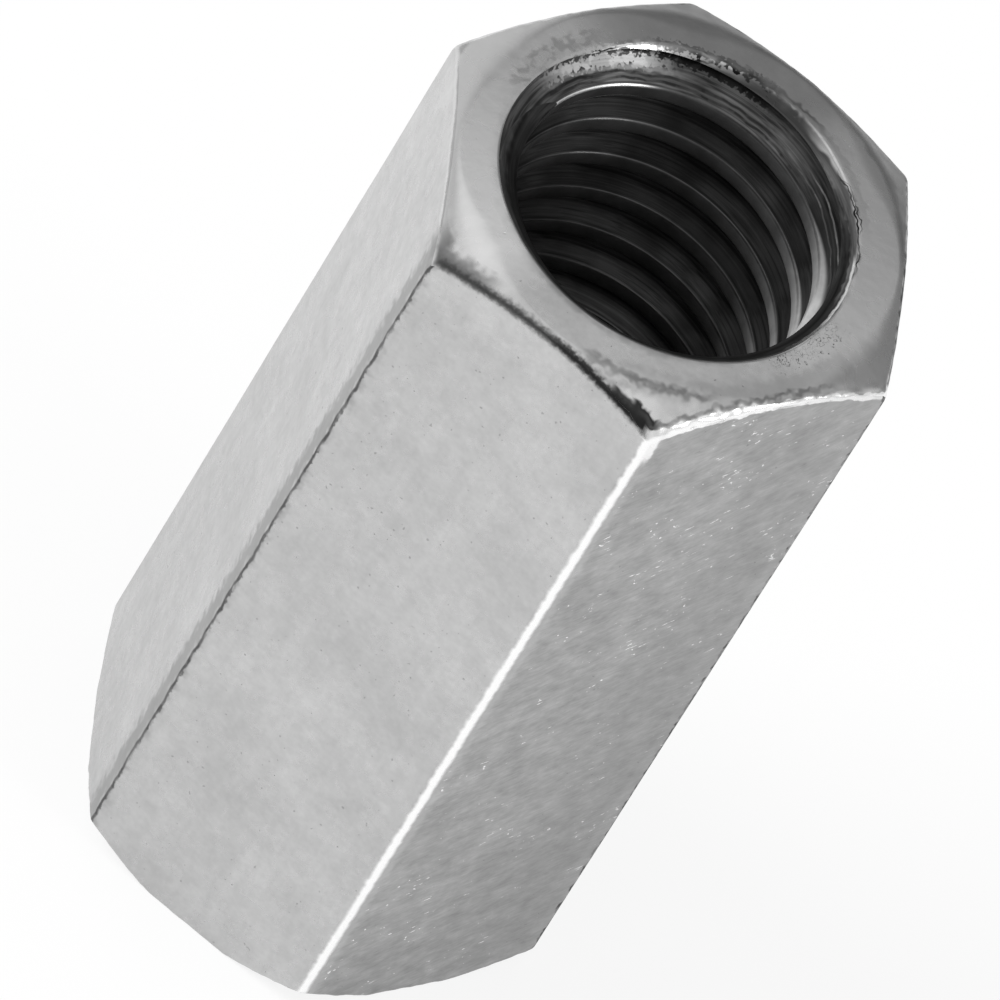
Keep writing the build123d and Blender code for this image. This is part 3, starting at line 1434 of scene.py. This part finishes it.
@dataclass(frozen=True)
class TappedBore:
    """The cut thread: near-black flanks, partly oily and partly painted shade, marked by the tap; paler
    crests, paler still on one side as painted light; and burnished arrises.
    """

    sizes: NutSizes
    specular: float = 0.2
    flank_metal: float = 0.6
    flank_roughness: float = 0.48
    tool_lines: ToolLines = ToolLines(11.0, 0.35, 4.0, 0.35, 1.8)
    tool_patches: Pattern = Pattern(0.5, 2.0, 0.5, 1.7)
    tool_relief: float = 0.003
    # Flanks: near black inside, partly oily and partly painted shade; greyer further down the bore and paler
    # at the near mouth's back, both painted light
    oil_and_painted_light: Ramp = Ramp(5.0, 14.0, 0.022, 0.07)
    mouth_painted_light_tone: float = 0.08
    mouth_painted_light_arc: Arc = Arc(150, 45, 70)
    mouth_painted_light_depth: Ramp = Ramp(1.1, 1.9, 1.0, 0.0)
    # Crests: paler on one side as painted light, where light falls into the bore, and near the mouth that
    # pale band is widened onto the flank, also painted light
    flicker: Pattern = Pattern(1.4, 3.0, 0.65, 1.0)
    crest_tone: float = 0.07
    painted_light_tone: float = 0.45
    painted_light_arc: Arc = Arc(-8, 20, 55)
    widened_depth: Ramp = Ramp(1.0, 5.5, 0.2, 0.0)
    widened_stretch: float = 1.8
    crest_from: float = 0.03
    crest_to: float = 0.08
    # Arrises: thin lines just outside the crests, with one glint on the first turn
    arris_at: float = 0.04
    arris_half: float = 0.015
    arris_far: float = 0.04
    arris_tone: float = 0.13
    arris_roughness: float = 0.34
    glint: Mark = Mark(Measure.DEPTH, Band(1.0, 0.5, 0.2), Arc(156, 16, 14), 0.95, deepest=3.0)

    def material(self, groups: SharedGroups) -> bpy.types.Material:
        """Builds the material.

        Args:
            groups: The node groups that the materials share.

        Returns:
            The material.
        """
        surface = Surface("tapped_steel", groups)
        patches = surface.spread(surface.point, self.tool_patches)
        tool = surface.times(surface.rings(self.tool_lines), patches)
        flicker = surface.spread(surface.point, self.flicker)
        tone = surface.times(tool, self._flank_tone(surface))
        tone, crest, arris = self._crests(surface, tone, flicker)
        tone = surface.marked(tone, thread_marks())
        glint = surface.masked(self.glint, surface.measured(self.glint.measure), flicker)
        tone = surface.blend(tone, self.glint.tone, surface.times(glint, arris))
        bare = surface.blend(self.flank_metal, 0.0, crest)
        roughness = surface.blend(self.flank_roughness, self.arris_roughness, arris)
        surface.feed(surface.shader["Base Color"], tone)
        surface.feed(surface.shader["Specular IOR Level"], self.specular)
        surface.feed(surface.shader["Metallic"], surface.largest(bare, arris))
        surface.feed(surface.shader["Roughness"], roughness)
        surface.raise_by(surface.times(tool, self.tool_relief))
        return surface.material

    def _flank_tone(self, surface: Surface) -> bpy.types.NodeSocket:
        """Gives the flanks their tone: near black inside, partly oily and partly painted shade, with painted
        light making them greyer further down the bore and paler at the near mouth's back.

        Args:
            surface: The material's graph.

        Returns:
            The tone.
        """
        depth = surface.measured(Measure.DEPTH)
        arc = self.mouth_painted_light_arc
        beside = surface.within(surface.measured(Measure.ANGLE), arc.middle, arc.spread, arc.far)
        # Paler flanks at the near mouth's back: painted light
        mouth_painted_light = surface.times(beside, surface.along(depth, self.mouth_painted_light_depth))
        # Greyer further down the bore: painted light
        return surface.blend(surface.along(depth, self.oil_and_painted_light), self.mouth_painted_light_tone, mouth_painted_light)

    def _crests(
        self, surface: Surface, tone: object, flicker: object
    ) -> tuple[bpy.types.NodeSocket, bpy.types.NodeSocket, bpy.types.NodeSocket]:
        """Lays the crests' and the arrises' tones over the flanks'.

        Args:
            surface: The material's graph.
            tone: The flanks' tone.
            flicker: A pattern that makes both uneven.

        Returns:
            The tone, the crests' mask and the arrises' mask.
        """
        radius = surface.measured(Measure.RADIUS)
        edge = self.sizes.crest_radius / MM
        arc = self.painted_light_arc
        # Painted light: the crests on this side, where light falls into the bore, get the paler tone
        painted_light_side = surface.within(surface.measured(Measure.ANGLE), arc.middle, arc.spread, arc.far)
        # Near the mouth the pale band is widened onto the flank, also painted light
        worn = surface.times(painted_light_side, surface.along(surface.measured(Measure.DEPTH), self.widened_depth))
        inner = surface.plus(worn, edge + self.crest_from)
        outer = surface.math("MULTIPLY_ADD", worn, self.widened_stretch, edge + self.crest_to)
        crest = surface.step(radius, inner, outer, 1.0, 0.0)
        off_arris = surface.math("ABSOLUTE", surface.minus(radius, edge + self.arris_at))
        off_painted_light_side = surface.minus(1.0, painted_light_side)
        arris = surface.step(off_arris, self.arris_half, self.arris_far, off_painted_light_side, 0.0)
        paler = surface.blend(self.crest_tone, self.painted_light_tone, painted_light_side)
        tone = surface.blend(tone, surface.times(flicker, paler), crest)
        tone = surface.blend(tone, surface.times(flicker, self.arris_tone), arris)
        return tone, crest, arris


@dataclass
class CouplingNut:
    """The whole nut: the worn body, tapped right through."""

    sizes: NutSizes
    near_end_depth: float = 3 * MM
    smooth_angle: float = radians(35)

    def build(self) -> bpy.types.Object:
        """Builds the body, plates it, taps it and smooths its faces.

        Returns:
            The finished nut's object.
        """
        groups = SharedGroups.built(self.sizes)
        tap = Tap(self.sizes).build()
        tap.data.materials.append(TappedBore(self.sizes).material(groups))
        body = HexagonBody(self.sizes).build()
        self._plate(body, groups)
        self._tap_through(body, tap)
        bpy.ops.object.shade_smooth_by_angle(angle=self.smooth_angle)
        body.data.calc_loop_triangles()
        LOG.info("nut: %d triangles, finishes %s", len(body.data.loop_triangles), body.data.materials.keys())
        return body

    def _plate(self, body: bpy.types.Object, groups: SharedGroups) -> None:
        """Gives the body its two finishes. Both have the side marks, and the near end has its own too.

        Args:
            body: The body's object.
            groups: The node groups that the materials share.
        """
        # cone, the first side mark, is the painted shade in both countersinks
        cone, *edges = side_marks()
        near_end = (cone, *mouth_marks(), *end_face_marks(), *edges)
        for finish in (PlatedSteel("plated_side", (cone, *edges)), PlatedSteel("plated_end", near_end)):
            body.data.materials.append(finish.material(groups))
        for face in body.data.polygons:
            face.material_index = int(face.center.z > self.sizes.length - self.near_end_depth)

    @staticmethod
    def _tap_through(body: bpy.types.Object, tap: bpy.types.Object) -> None:
        """Cuts the thread, whose faces keep the tap's finish, and takes the tap away.

        Args:
            body: The body's object, which is the active piece.
            tap: The tap's object.
        """
        cut = body.modifiers.new("tapping", "BOOLEAN")
        cut.operation = "DIFFERENCE"
        cut.solver = "EXACT"
        cut.material_mode = "TRANSFER"
        cut.object = tap
        bpy.ops.object.modifier_apply(modifier=cut.name)
        bpy.data.objects.remove(tap, do_unlink=True)


@dataclass(frozen=True)
class PhotoCamera:
    """The photograph's camera, as fitted to the nut's edges, thread and ends."""

    right: Vector = Vector((0.76855, 0.53678, 0.34813))
    upward: Vector = Vector((-0.62997, 0.53995, 0.55821))
    back: Vector = Vector((0.11167, -0.64832, 0.75313))
    distance: float = 0.8176
    aside: float = 0.175 * MM
    above: float = 0.106 * MM
    lens: float = 890.6
    sensor_width: float = 36.0
    nearest: float = 0.05
    farthest: float = 50.0

    def place(self, centre: Vector) -> None:
        """Puts the camera where the photograph was taken from.

        Args:
            centre: The middle of the nut.
        """
        data = bpy.data.cameras.new("photo_camera")
        data.sensor_width = self.sensor_width
        data.lens = self.lens
        data.clip_start = self.nearest
        data.clip_end = self.farthest
        camera = bpy.data.objects.new("photo_camera", data)
        bpy.context.scene.collection.objects.link(camera)
        turn = Matrix((self.right, self.upward, self.back)).transposed()
        place = centre + self.back * self.distance + self.right * self.aside + self.upward * self.above
        camera.matrix_world = Matrix.Translation(place) @ turn.to_4x4()
        bpy.context.scene.camera = camera


@dataclass(frozen=True)
class SoftBox:
    """A square soft lamp that points at the nut, by its direction in degrees and its distance."""

    name: str
    azimuth: float
    elevation: float
    distance: float
    size: float
    power: float
    mirrored: bool = True

    def hang(self, aim: Vector) -> None:
        """Hangs the lamp.

        Args:
            aim: The point that it lights.
        """
        turn, lift = radians(self.azimuth), radians(self.elevation)
        away = Vector((cos(turn) * cos(lift), sin(turn) * cos(lift), sin(lift)))
        data = bpy.data.lights.new(self.name, "AREA")
        data.size = self.size
        data.energy = self.power
        lamp = bpy.data.objects.new(self.name, data)
        lamp.visible_glossy = self.mirrored
        bpy.context.scene.collection.objects.link(lamp)
        lamp.location = aim + away * self.distance
        lamp.rotation_euler = (-away).to_track_quat("-Z", "Y").to_euler()


@dataclass(frozen=True)
class PaperFloor:
    """The white floor. It looks white, keeps the nut's shadow, and isn't mirrored where the nut stands."""

    size: float = 3.0
    cells: int = 8
    tone: float = 0.85
    roughness: float = 0.9
    seen: float = 0.85
    mirrored: float = 0.4
    opening: Ramp = Ramp(6.0, 8.5)
    falling: Ramp = Ramp(90.0, 400.0, 1.0, 0.6)

    def lay(self) -> None:
        """Lays the floor."""
        bpy.ops.mesh.primitive_grid_add(x_subdivisions=self.cells, y_subdivisions=self.cells, size=self.size)
        ground = bpy.context.object
        ground.name = "floor"
        ground.data.materials.append(self._paper())

    def _paper(self) -> bpy.types.Material:
        """Builds the floor's material.

        Returns:
            The material.
        """
        paper = bpy.data.materials.new("white_paper")
        paper.use_nodes = True
        graph = ShaderGraph(paper.node_tree)
        shader = paper.node_tree.nodes["Principled BSDF"]
        graph.feed(shader.inputs["Base Color"], (self.tone, self.tone, self.tone, 1.0))
        graph.feed(shader.inputs["Roughness"], self.roughness)
        x, y, _ = graph.split(graph.place())
        out = graph.off_axis(x, y)
        open_floor = graph.times(graph.along(out, self.opening), graph.along(out, self.falling))
        path = graph.node("ShaderNodeLightPath", {}).outputs
        seen = graph.times(path["Is Camera Ray"], self.seen)
        through = graph.times(path["Is Transmission Ray"], self.seen)
        mirrored = graph.times(path["Is Glossy Ray"], self.mirrored, open_floor)
        share = graph.plus(graph.plus(seen, through), mirrored)
        glow = graph.node("ShaderNodeEmission", {}).outputs[0]
        mix = graph.node("ShaderNodeMixShader", {0: share, 1: shader.outputs[0], 2: glow})
        graph.feed(paper.node_tree.nodes["Material Output"].inputs["Surface"], mix.outputs[0])
        return paper


@dataclass(frozen=True)
class Glow:
    """A soft bright part of the room, over an arc of azimuths and up to a height in degrees."""

    arc: Arc
    height: Ramp


@dataclass(frozen=True)
class Room:
    """The room: white to look at, and for light and mirrors bright above and at both sides."""

    above: Ramp = Ramp(38.0, 64.0, 0.22, 0.95)
    glows: tuple[Glow, ...] = (
        Glow(Arc(178, 45, 30), Ramp(38.0, 60.0, 0.62, 0.0)),
        Glow(Arc(-14, 40, 26), Ramp(48.0, 65.0, 0.6, 0.0)),
    )

    def build(self) -> None:
        """Makes the world."""
        world = bpy.data.worlds.new("studio")
        bpy.context.scene.world = world
        world.use_nodes = True
        graph = ShaderGraph(world.node_tree)
        x, y, z = graph.split(graph.node("ShaderNodeTexCoord", {}).outputs["Generated"])
        elevation = graph.math("DEGREES", graph.math("ARCSINE", z))
        azimuth = graph.math("DEGREES", graph.math("ARCTAN2", y, x))
        lights = [graph.along(elevation, self.above)]
        for glow in self.glows:
            beside = graph.within(azimuth, glow.arc.middle, glow.arc.spread, glow.arc.far)
            lights.append(graph.times(beside, graph.along(elevation, glow.height)))
        path = graph.node("ShaderNodeLightPath", {}).outputs
        seen = graph.largest(path["Is Camera Ray"], path["Is Transmission Ray"])
        background = world.node_tree.nodes["Background"].inputs
        graph.feed(background["Color"], (1.0, 1.0, 1.0, 1.0))
        graph.feed(background["Strength"], graph.blend(graph.largest(*lights), 1.0, seen))


@dataclass(frozen=True)
class Studio:
    """The white floor in its room, and two soft lamps."""

    floor: PaperFloor = PaperFloor()
    room: Room = Room()
    lamp_aim: float = 17 * MM
    lamps: tuple[SoftBox, ...] = (
        SoftBox("key", 200, 40, 0.9, 0.45, 6.7, mirrored=False),
        SoftBox("kicker", -5, 28, 0.8, 0.22, 1.2),
    )

    def build(self) -> None:
        """Builds the floor, the world and the lamps."""
        self.floor.lay()
        self.room.build()
        for lamp in self.lamps:
            lamp.hang(Vector((0, 0, self.lamp_aim)))


def main() -> None:
    """Loads the frame, builds the nut and its studio, places the camera and sets the view transform."""
    logging.basicConfig(level=logging.INFO)
    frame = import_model()
    bpy.ops.object.select_all(action="DESELECT")
    sizes = NutSizes.from_frame(frame["record"])
    nut = CouplingNut(sizes).build()
    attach(nut, "root")
    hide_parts(NODE)
    Studio().build()
    PhotoCamera().place(Vector((0, 0, sizes.length / 2)))
    scene = bpy.context.scene
    scene.view_settings.view_transform = "Standard"


if __name__ == "__main__":
    main()
